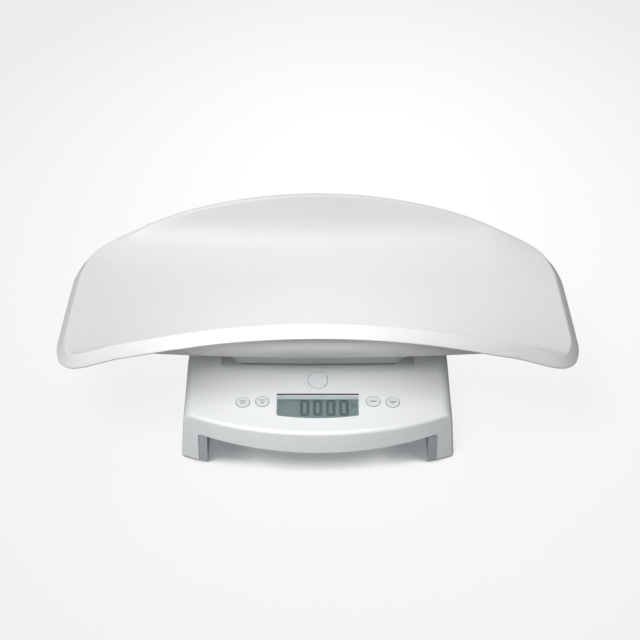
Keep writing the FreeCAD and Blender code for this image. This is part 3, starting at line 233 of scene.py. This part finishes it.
RIM_TURNS, EDGE_TURNS = 8, 4              # rings over the rolled rim, and round each edge of the lip
LIP_SOFT = 0.9                            # rounding of the lip's edges
BOSS_PLACES = [(x, y) for x in (-66, 66) for y in (-26, 26)]
BOSS_FOOT_Z, BOSS_SINK, BOSS_R, BOSS_BORE_R, BOSS_STEPS = 98.0, 0.5, 5.0, 1.8, 32


def trough(y):
    """Height of the tray's inside in its middle section: flat arc, corner arc, straight wall."""
    y = abs(y)
    if y <= FLOOR_HALF:
        return FLOOR_Z + FLOOR_R - math.sqrt(FLOOR_R ** 2 - y ** 2)
    if y <= WALL_Y:
        return TROUGH_Z - math.sqrt(TROUGH_R ** 2 - (y - TROUGH_Y) ** 2)
    return WALL_Z + (y - WALL_Y) * math.tan(WALL_SLOPE)


def trough_reach(z):
    """How far out the middle section is at height z."""
    if z >= WALL_Z:
        return WALL_Y + (z - WALL_Z) / math.tan(WALL_SLOPE)
    if z >= TROUGH_Z - TROUGH_R * math.cos(EDGE_SLOPE):
        return TROUGH_Y + math.sqrt(TROUGH_R ** 2 - (TROUGH_Z - z) ** 2)
    return math.sqrt(max(FLOOR_R ** 2 - (FLOOR_Z + FLOOR_R - z) ** 2, 1.0))


def bow(x):
    """How much the tray rises towards its ends."""
    return FLOOR_BOW - math.sqrt(FLOOR_BOW ** 2 - x ** 2)


def flare(x):
    """Factor on y that opens the section out past FLARE_X."""
    past = max(abs(x) - FLARE_X, 0.0) / (END - FLARE_X)
    return 1 - FLARE * past ** 2


def tray_z(x, y):
    """Height of the tray's inside."""
    return trough(y * flare(x)) + bow(x)


def tray_normal(x, y):
    """Direction square to the tray's inside, upwards."""
    step = 0.05
    rise_x = (tray_z(x + step, y) - tray_z(x - step, y)) / (2 * step)
    rise_y = (tray_z(x, y + step) - tray_z(x, y - step)) / (2 * step)
    return Vector((-rise_x, -rise_y, 1)).normalized()


def rim_reach(x):
    """How far out the long sides' rim is at x."""
    rim_z = RIM_Z - RIM_R * (1 - math.cos(WALL_SLOPE)) - RIM_BOW + math.sqrt(RIM_BOW ** 2 - x ** 2)
    return trough_reach(rim_z - bow(x)) / flare(x)


def rim_outline(count):
    """Evenly spaced spots along the rim, seen from above."""
    across = rim_reach(0)
    spots = []
    for i in range(FINE * count + 1):
        angle = 2 * math.pi * i / (FINE * count)
        dx, dy = END * math.cos(angle), across * math.sin(angle)
        low, high = 0.0, SEARCH_REACH
        for _ in range(SEARCH_STEPS):
            share = (low + high) / 2
            x, y = abs(dx) * share, abs(dy) * share
            end = END - END_BULGE * (y / across) ** 2
            if (x / end) ** POWER + (y / rim_reach(min(x, END))) ** POWER < 1:
                low = share
            else:
                high = share
        spots.append(Vector((dx * low, dy * low, 0)))
    lengths = [0.0]
    for a, b in zip(spots, spots[1:]):
        lengths.append(lengths[-1] + (b - a).length)
    outline, index = [], 0
    for i in range(count):
        target = lengths[-1] * (i + 0.5) / count
        while lengths[index + 1] < target:
            index += 1
        share = (target - lengths[index]) / (lengths[index + 1] - lengths[index])
        outline.append(spots[index].lerp(spots[index + 1], share))
    return outline


def tray_skin():
    """The tray as one smooth closed skin: inside, over the rim, down the lip and back underneath."""
    count = SKIN_SPOTS
    outline = rim_outline(count)
    inside, outside = [], []
    for share in SKIN_SHARES:
        top, below = [], []
        for p in outline:
            x, y = p.x * share, p.y * share
            at = Vector((x, y, tray_z(x, y)))
            top.append(at)
            below.append(at - tray_normal(x, y) * WALL)
        inside.append(top)
        outside.append(below)
    over, under = [[] for _ in range(RIM_TURNS)], [[] for _ in range(RIM_TURNS)]
    bands = [[] for _ in range(2 * EDGE_TURNS + 2)]
    for i, p in enumerate(outline):
        along = (outline[(i + 1) % count] - outline[i - 1]).normalized()
        out = Vector((along.y, -along.x, 0))
        normal = tray_normal(p.x, p.y)
        rise = math.atan2(-normal.dot(out), normal.z)
        centre = Vector((p.x, p.y, tray_z(p.x, p.y)))
        centre = centre - (out * -math.sin(rise) + Vector((0, 0, math.cos(rise)))) * RIM_R
        for k in range(RIM_TURNS):
            slope = rise - (rise + LIP_SLOPE) * (k + 1) / RIM_TURNS
            ray = out * -math.sin(slope) + Vector((0, 0, math.cos(slope)))
            over[k].append(centre + ray * RIM_R)
            under[k].append(centre + ray * (RIM_R - WALL))
        down = out * math.cos(LIP_SLOPE) - Vector((0, 0, math.sin(LIP_SLOPE)))
        face = out * math.sin(LIP_SLOPE) + Vector((0, 0, math.cos(LIP_SLOPE)))
        root, inner = over[-1][-1], under[-1][-1]
        bands[0].append(root + down * LIP * 0.5)
        for k in range(EDGE_TURNS):
            a = math.radians(90 * k / (EDGE_TURNS - 1))
            shift = down * (LIP_SOFT * math.sin(a)) + face * (LIP_SOFT * math.cos(a))
            bands[1 + k].append(root + down * (LIP - LIP_SOFT) - face * LIP_SOFT + shift)
            shift = down * (LIP_SOFT * math.cos(a)) - face * (LIP_SOFT * math.sin(a))
            bands[1 + EDGE_TURNS + k].append(inner + down * (LIP - LIP_SOFT) + face * LIP_SOFT + shift)
        bands[-1].append(inner + down * LIP * 0.5)
    rings = inside + over + bands + under[::-1] + outside[::-1]
    verts = [v for ring in rings for v in ring]
    faces = []
    for r in range(len(rings) - 1):
        for i in range(count):
            j = (i + 1) % count
            faces.append((r * count + i, r * count + j, (r + 1) * count + j, (r + 1) * count + i))
    faces = [tuple(reversed(f)) for f in faces]
    last = (len(rings) - 1) * count
    verts.append(Vector((0, 0, FLOOR_Z)))
    verts.append(Vector((0, 0, FLOOR_Z - WALL)))
    for i in range(count):
        j = (i + 1) % count
        faces.append((len(verts) - 2, i, j))
        faces.append((len(verts) - 1, last + j, last + i))
    return verts, faces


def tube(x, y, z0, z1, outer, inner):
    """A hollow boss standing upright."""
    verts, faces, steps = [], [], BOSS_STEPS
    for radius, z in ((inner, z0), (outer, z0), (outer, z1), (inner, z1)):
        for k in range(steps):
            a = 2 * math.pi * k / steps
            verts.append(Vector((x + radius * math.cos(a), y + radius * math.sin(a), z)))
    for ring in range(4):
        for k in range(steps):
            nxt = (k + 1) % steps
            after = (ring + 1) % 4
            faces.append((ring * steps + k, ring * steps + nxt, after * steps + nxt, after * steps + k))
    return verts, [tuple(reversed(f)) for f in faces]


tray = piece("tray_skin", *tray_skin(), PAINT["tray_plastic"], "tray")
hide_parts("tray_shell")
bosses = [tube(x, y, BOSS_FOOT_Z, tray_z(x, y) - WALL + BOSS_SINK, BOSS_R, BOSS_BORE_R)
          for x, y in BOSS_PLACES]
boss_piece = piece("tray_screw_bosses", *joined(bosses), PAINT["tray_plastic"], "tray", smooth=False)

# painted shadow: a dark band where the plinth meets the base, standing in for the shadow line there
PLINTH_HALF, PLINTH_DEPTH, PLINTH_CORNER, PLINTH_BOW = 97.0, 47.0, 16.0, 1.5
CORNER_STEPS = 8
SIDE_SPOTS = (4, 2, 0, -2, -4)            # along each bowed side, in corner radii from the middle
SHADOW_BAND_LOW, SHADOW_BAND_HIGH, SHADOW_BAND_PROUD = 81.3, 82.2, 0.12


def plinth_foot(out):
    """Round-cornered outline of the plinth with its bowed long sides, grown by out."""
    spots = []
    for turn, (sx, sy) in enumerate(((1, -1), (1, 1), (-1, 1), (-1, -1))):
        for k in range(CORNER_STEPS + 1):
            a = math.radians(90 * (turn - 1) + 90 * k / CORNER_STEPS)
            x = sx * (PLINTH_HALF - PLINTH_CORNER) + (PLINTH_CORNER + out) * math.cos(a)
            y = sy * (PLINTH_DEPTH - PLINTH_CORNER) + (PLINTH_CORNER + out) * math.sin(a)
            spots.append((x, y))
        if sx == sy:      # the next side is a long one
            spots += [(sx * PLINTH_CORNER * k, sy * (PLINTH_DEPTH + out)) for k in SIDE_SPOTS]
    return [(x, y + math.copysign(PLINTH_BOW * max(1 - (x / PLINTH_HALF) ** 2, 0), y)) for x, y in spots]


def plinth_shadow_band():
    """Painted shadow: a thin dark band round the plinth's foot."""
    spots = plinth_foot(SHADOW_BAND_PROUD)
    count = len(spots)
    verts = [Vector((x, y, z)) for z in (SHADOW_BAND_LOW, SHADOW_BAND_HIGH) for x, y in spots]
    return verts, [(k, (k + 1) % count, count + (k + 1) % count, count + k) for k in range(count)]


# the painted shadow's dark colour
plinth_shadow_paint = surface("plinth_shadow_paint", (0.06, 0.07, 0.07), 0.6, relief=0.0)
shadow_band_piece = piece("plinth_shadow_band", *plinth_shadow_band(), plinth_shadow_paint, "tray", smooth=False)

# ------------------------------------------------------------------ display and key marks
BOARD_Y, BOARD_Z, TILT = -101.0, 60.4653, math.radians(13.7959)
SWEEP_R = 179.2
GLASS_TOP = -3.3
LENS_HALF, LENS_TOP, LENS_CORNER, LENS_LOW = 44.4, 16.0, -12.5, -16.8
LENS_BOW_R = (LENS_HALF ** 2 + (LENS_CORNER - LENS_LOW) ** 2) / (2 * (LENS_CORNER - LENS_LOW))
DIGIT_LEFTS, DIGIT_LOW = (-19.2, -5.2, 8.9, 23.2), -9.8
DIGIT_WIDE, DIGIT_HIGH, DIGIT_BAR, DIGIT_GAP, DIGIT_CUT = 10.2, 22.5, 3.3, 0.25, 0.9
# a generic unit sign: an upright stroke, and a bracket that opens towards it
UNIT_SIGN = [rect(36.6, 2.4, 37.7, 7.6), rect(38.2, 2.4, 42.0, 3.5), rect(38.2, 5.6, 42.0, 6.7),
             rect(40.9, 3.5, 42.0, 5.6)]
INK_HEIGHTS = (0.01, 0.08)                # above the glass
PRINT_INSET, PRINT_HEIGHTS = 0.3, (-1.5, -1.44)
BORDER_SIDE, BORDER_FOOT, BAND_LOW = 2.3, 2.4, 12.4
BOW_STEPS = 24
# width, gap and thickness of the painted shadow along the window's top
EDGE_SHADOW_WIDE, EDGE_SHADOW_GAP, EDGE_SHADOW_THICK = 2.0, 0.5, 0.12


def board(x, v, h):
    """The point x across, v up along and h above the sloping board."""
    y = BOARD_Y + v * math.cos(TILT) - h * math.sin(TILT)
    return Vector((x, y, BOARD_Z + v * math.sin(TILT) + h * math.cos(TILT)))


def panel_rise(v):
    """How far the hollow panel stands above the board's plane."""
    return v ** 2 / (2 * SWEEP_R)


def lower_edge(x, inset):
    """Bowed lower edge of the window, drawn in by inset."""
    return LENS_LOW + inset + LENS_BOW_R - math.sqrt(LENS_BOW_R ** 2 - x ** 2)


def nought(x, v):
    """The figure nought: two level bars and four uprights, with hair gaps and slightly cut corners."""
    wide, high, bar, gap, cut = DIGIT_WIDE, DIGIT_HIGH, DIGIT_BAR, DIGIT_GAP, DIGIT_CUT
    middle = v + high / 2
    shapes = [[(x + cut, v), (x + wide - cut, v), (x + wide - gap, v + cut - gap),
               (x + wide - bar, v + bar), (x + bar, v + bar), (x + gap, v + cut - gap)]]
    shapes.append([(px, 2 * middle - pv) for px, pv in reversed(shapes[0])])
    left = [(x, v + cut + gap), (x + bar, v + bar + gap), (x + bar, middle - gap),
            (x + bar / 2, middle - gap / 2), (x, middle - gap)]
    for flip_x in (False, True):
        for flip_v in (False, True):
            spots = [(2 * x + wide - px if flip_x else px, 2 * middle - pv if flip_v else pv)
                     for px, pv in left]
            shapes.append(spots if flip_x == flip_v else spots[::-1])
    return shapes


ink = surface("lcd_ink", (0.006, 0.022, 0.025), 0.4, drift=0.08, relief=0.0)
figures = [shape for left in DIGIT_LEFTS for shape in nought(left, DIGIT_LOW)] + UNIT_SIGN
figure_slabs = [slab(o, board, *(GLASS_TOP + height for height in INK_HEIGHTS)) for o in figures]
digits = piece("lcd_figures", *joined(figure_slabs), ink, "base", smooth=False)

# printed border under the window and the pale band along its top
top_band = surface("window_band", (0.49, 0.55, 0.57), 0.4, relief=0.0)
edge = LENS_HALF - PRINT_INSET
steps = [-edge + 2 * edge * k / BOW_STEPS for k in range(BOW_STEPS + 1)]
foot_band = [(x, lower_edge(x, PRINT_INSET)) for x in steps]
foot_band += [(x, lower_edge(x, BORDER_FOOT)) for x in reversed(steps)]
side_foot = LENS_CORNER + BORDER_FOOT
border = [rect(-edge, side_foot, BORDER_SIDE - edge, BAND_LOW),
          rect(edge - BORDER_SIDE, side_foot, edge, BAND_LOW)]
border_slabs = [slab(o, board, *PRINT_HEIGHTS) for o in border + [foot_band]]
border_piece = piece("window_border", *joined(border_slabs), PAINT["lcd_glass"], "base", smooth=False)
band_slab = slab(rect(-edge, BAND_LOW, edge, LENS_TOP - PRINT_INSET), board, *PRINT_HEIGHTS)
band = piece("window_top_band", *band_slab, top_band, "base", smooth=False)

# painted shadow: a dark strip along the window's upper edge, standing in for the shadow line there
shadow_v = LENS_TOP + EDGE_SHADOW_GAP
shadow_rise = panel_rise(shadow_v + EDGE_SHADOW_WIDE)
shadow_outline = rect(-LENS_HALF, shadow_v, LENS_HALF, shadow_v + EDGE_SHADOW_WIDE)
shadow_slab = slab(shadow_outline, board, shadow_rise, shadow_rise + EDGE_SHADOW_THICK)
window_shadow = piece("window_painted_shadow", *shadow_slab, ink, "base", smooth=False)

# painted shade in the grooves round the keys, as dark rings on the panel, and grey marks on the keys
KEY_R, KEY_PROUD = 7.1, 0.7
# how far the painted groove shade reaches in and out, and how far above the panel it lies
GROOVE_IN, GROOVE_OUT, GROOVE_RISE, RING_STEPS = 0.1, 0.65, 0.06, 48
MARK_HEIGHTS = (-0.01, 0.05)              # against the key's top
WEDGE = [(-2.0, -3.0), (2.0, -3.0), (0.0, -0.2)]
OUTER_V, INNER_V = 6.5, 7.6
KEYS = (("power", -81.0, OUTER_V, [rect(-2.9, 0.9, 2.9, 2.1), rect(-2.9, -2.1, 2.9, -0.9)]),
        ("units", -60.0, INNER_V, [rect(-3.4, 1.2, 3.4, 2.2), WEDGE]),
        ("hold", 60.0, INNER_V, [rect(-3.6, -0.7, 3.6, 0.7)]),
        ("zero", 81.0, OUTER_V, [rect(-3.6, -0.3, 3.6, 0.9), rect(-1.4, -2.2, 1.4, -1.3)]))
gap_shade_paint = surface("gap_shade_paint", (0.10, 0.105, 0.11), 0.6, relief=0.0)
mark_ink = surface("key_marks", (0.17, 0.18, 0.19), 0.5, relief=0.0)


def gap_shadow_ring(x, v):
    """Painted shade for the open groove round a key: a dark flat ring on the panel."""
    rise = panel_rise(v) + GROOVE_RISE
    turns = [2 * math.pi * k / RING_STEPS for k in range(RING_STEPS)]
    verts = [board(x + r * math.cos(a), v + r * math.sin(a), rise)
             for r in (KEY_R - GROOVE_IN, KEY_R + GROOVE_OUT) for a in turns]
    count = RING_STEPS
    return verts, [(k, count + k, count + (k + 1) % count, (k + 1) % count) for k in range(count)]


for _, x, v, _ in KEYS:
    name = f"groove_{'left' if x < 0 else 'right'}_{abs(x):.0f}"
    obj = piece(name, *gap_shadow_ring(x, v), gap_shade_paint, "base", smooth=False)
for key, x, v, outlines in KEYS:
    heights = [KEY_PROUD + panel_rise(v) + height for height in MARK_HEIGHTS]
    marks = [slab([(x + a, v + b) for a, b in outline], board, *heights) for outline in outlines]
    obj = piece(f"mark_{key}", *joined(marks), mark_ink, f"key_{key}", smooth=False)

# ------------------------------------------------------------------ stage, light and camera, in metres
SKY_LEVEL = 0.08
SKY_LOBES = (((0, 0, 1), 0.65), ((0, -0.35, -1), 0.28), ((-1, 0, 0), 0.15), ((0, 1, 0.1), 0.10))
SKY_TINT = (0.94, 0.985, 1.0)
FLOOR_REACH = 7.0
FLOOR_LOW, FLOOR_HIGH, FLOOR_ROUGHNESS = (0.108, 0.108, 0.107), (0.112, 0.112, 0.111), 0.9
CLOUD_SCALE = 0.8
# painted pool of light on the floor: its centre, its reach across and along, and its brightness far out
# and at the middle
GLOW_CENTRE, GLOW_REACH, GLOW_LEVELS = (0.07, 0.55), (0.65, 1.07), (0.77, 0.965)
# painted contact shadow: how far the floor's ambient occlusion looks, the occlusion range it fades over,
# and its darkest level
CONTACT_REACH, CONTACT_OPEN, CONTACT_SHADE = 0.056, (0.38, 0.60), 0.28
CONTACT_SAMPLES = 16
# colour of the floor's glow in the open, and of its painted shadow
FLOOR_TINT, SHADE_TINT = (1.0, 0.995, 0.985), (0.87, 0.96, 1.0)
SPOT_SOFTNESS = 0.12
PICTURE_PX, FOCAL_PX, SHIFT_PX, SENSOR_MM = 640, 1643.5, 2.2, 36.0
CAMERA_AIM, CAMERA_DISTANCE, CAMERA_ELEVATION = Vector((0, 0, 0.10908)), 1.8333, math.radians(31)


def stage_floor():
    """A pale light table: it glows softly, with a painted pool of light round its middle, and painted
    shadow close to what stands on it.
    """
    mesh = bpy.data.meshes.new("floor")
    corners = [(x, y, 0) for x, y in rect(-FLOOR_REACH, -FLOOR_REACH, FLOOR_REACH, FLOOR_REACH)]
    mesh.from_pydata(corners, [], [(0, 1, 2, 3)])
    obj = bpy.data.objects.new("floor", mesh)
    bpy.context.scene.collection.objects.link(obj)
    mat, tree, shader = nodes_of("floor")
    coords = tree.nodes.new("ShaderNodeTexCoord").outputs["Object"]
    # painted pool of light: a round gradient on the floor, brightest near GLOW_CENTRE
    spot = tree.nodes.new("ShaderNodeMapping")
    spot.inputs["Location"].default_value = (*(-c / r for c, r in zip(GLOW_CENTRE, GLOW_REACH)), 0)
    spot.inputs["Scale"].default_value = (1 / GLOW_REACH[0], 1 / GLOW_REACH[1], 1)
    tree.links.new(coords, spot.inputs["Vector"])
    pool_fade = tree.nodes.new("ShaderNodeTexGradient")
    pool_fade.gradient_type = "SPHERICAL"
    tree.links.new(spot.outputs["Vector"], pool_fade.inputs["Vector"])
    # painted shadow: ambient occlusion dims the floor's glow close to the object
    shade = tree.nodes.new("ShaderNodeAmbientOcclusion")
    shade.samples = CONTACT_SAMPLES
    shade.inputs["Distance"].default_value = CONTACT_REACH
    contact_shadow = tree.nodes.new("ShaderNodeMapRange")
    contact_shadow.interpolation_type = "SMOOTHSTEP"
    contact_shadow.inputs["From Min"].default_value = CONTACT_OPEN[0]
    contact_shadow.inputs["From Max"].default_value = CONTACT_OPEN[1]
    contact_shadow.inputs["To Min"].default_value = CONTACT_SHADE
    tree.links.new(shade.outputs["AO"], contact_shadow.inputs["Value"])
    light_pool = tree.nodes.new("ShaderNodeMapRange")
    light_pool.inputs["To Min"].default_value = GLOW_LEVELS[0]
    light_pool.inputs["To Max"].default_value = GLOW_LEVELS[1]
    tree.links.new(pool_fade.outputs["Fac"], light_pool.inputs["Value"])
    strength = tree.nodes.new("ShaderNodeMath")
    strength.operation = "MULTIPLY"
    tree.links.new(light_pool.outputs["Result"], strength.inputs[0])
    tree.links.new(contact_shadow.outputs["Result"], strength.inputs[1])
    tree.links.new(strength.outputs["Value"], shader.inputs["Emission Strength"])
    tint = mixed(tree, contact_shadow.outputs["Result"], SHADE_TINT, FLOOR_TINT)
    tree.links.new(tint, shader.inputs["Emission Color"])
    tone = mixed(tree, noise(tree, coords, CLOUD_SCALE, 2.0), FLOOR_LOW, FLOOR_HIGH)
    tree.links.new(tone, shader.inputs["Base Color"])
    shader.inputs["Roughness"].default_value = FLOOR_ROUGHNESS
    shader.inputs["Specular IOR Level"].default_value = 0.0
    mesh.materials.append(mat)
    obj.visible_diffuse = False      # the object is lit by the sky and the lamps, not by the floor
    obj.visible_glossy = False


def sky():
    """Soft surrounding light: a low even level, and a wide lobe in each named direction."""
    world = bpy.data.worlds.new("studio")
    bpy.context.scene.world = world
    world.use_nodes = True
    tree = world.node_tree
    back = tree.nodes["Background"]
    coords = tree.nodes.new("ShaderNodeTexCoord").outputs["Generated"]
    total = None
    for direction, strength in SKY_LOBES:
        lean = tree.nodes.new("ShaderNodeVectorMath")
        lean.operation = "DOT_PRODUCT"
        tree.links.new(coords, lean.inputs[0])
        lean.inputs[1].default_value = Vector(direction).normalized()
        lobe = tree.nodes.new("ShaderNodeMapRange")
        level = SKY_LEVEL if total is None else 0.0      # the first lobe brings in the even level
        lobe.inputs["To Min"].default_value = level
        lobe.inputs["To Max"].default_value = level + strength
        tree.links.new(lean.outputs["Value"], lobe.inputs["Value"])
        if total is not None:
            add = tree.nodes.new("ShaderNodeMath")
            add.operation = "ADD"
            tree.links.new(total, add.inputs[0])
            tree.links.new(lobe.outputs["Result"], add.inputs[1])
            total = add.outputs["Value"]
        else:
            total = lobe.outputs["Result"]
    tree.links.new(total, back.inputs["Strength"])
    back.inputs["Color"].default_value = (*SKY_TINT, 1.0)


def lamp(name, kind, place, aim, size, power):
    """A lamp at place, pointing at aim; size is a spot's full angle or a box's two sides."""
    data = bpy.data.lights.new(name, kind)
    data.energy = power
    if kind == "AREA":
        data.shape = "RECTANGLE"
        data.size, data.size_y = size
    else:
        data.spot_size = size
        data.spot_blend = 1.0
        data.shadow_soft_size = SPOT_SOFTNESS
    obj = bpy.data.objects.new(name, data)
    obj.location = place
    obj.rotation_euler = (Vector(aim) - Vector(place)).to_track_quat("-Z", "Y").to_euler()
    obj.visible_camera = False
    bpy.context.scene.collection.objects.link(obj)
    return obj


def camera():
    """The photograph's view: straight in front, looking down by the camera's elevation."""
    data = bpy.data.cameras.new("camera")
    data.sensor_width = SENSOR_MM
    data.lens = FOCAL_PX / PICTURE_PX * SENSOR_MM
    data.shift_x = SHIFT_PX / PICTURE_PX
    obj = bpy.data.objects.new("camera", data)
    back = Vector((0, -math.cos(CAMERA_ELEVATION), math.sin(CAMERA_ELEVATION)))
    obj.location = CAMERA_AIM + back * CAMERA_DISTANCE
    obj.rotation_euler = (CAMERA_AIM - obj.location).to_track_quat("-Z", "Y").to_euler()
    bpy.context.scene.collection.objects.link(obj)
    bpy.context.scene.camera = obj


stage_floor()
sky()
lamp("key_light", "AREA", place=(-0.60, -1.36, 1.92), aim=(0, 0, 0.1), size=(0.8, 0.8), power=33.0)
for aim_x in (-0.075, 0.075):
    lamp("panel_spot", "SPOT", place=(-0.20, -0.94, 0.88), aim=(aim_x, -0.052, 0.077),
         size=math.radians(12), power=29.0)
low_box = lamp("panel_box", "AREA", place=(-0.02, -0.165, 0.168), aim=(-0.02, -0.150, 0.05),
               size=(0.24, 0.02), power=0.032)
low_box.visible_glossy = False      # no streak on the window
camera()
bpy.context.scene.view_settings.view_transform = "Standard"
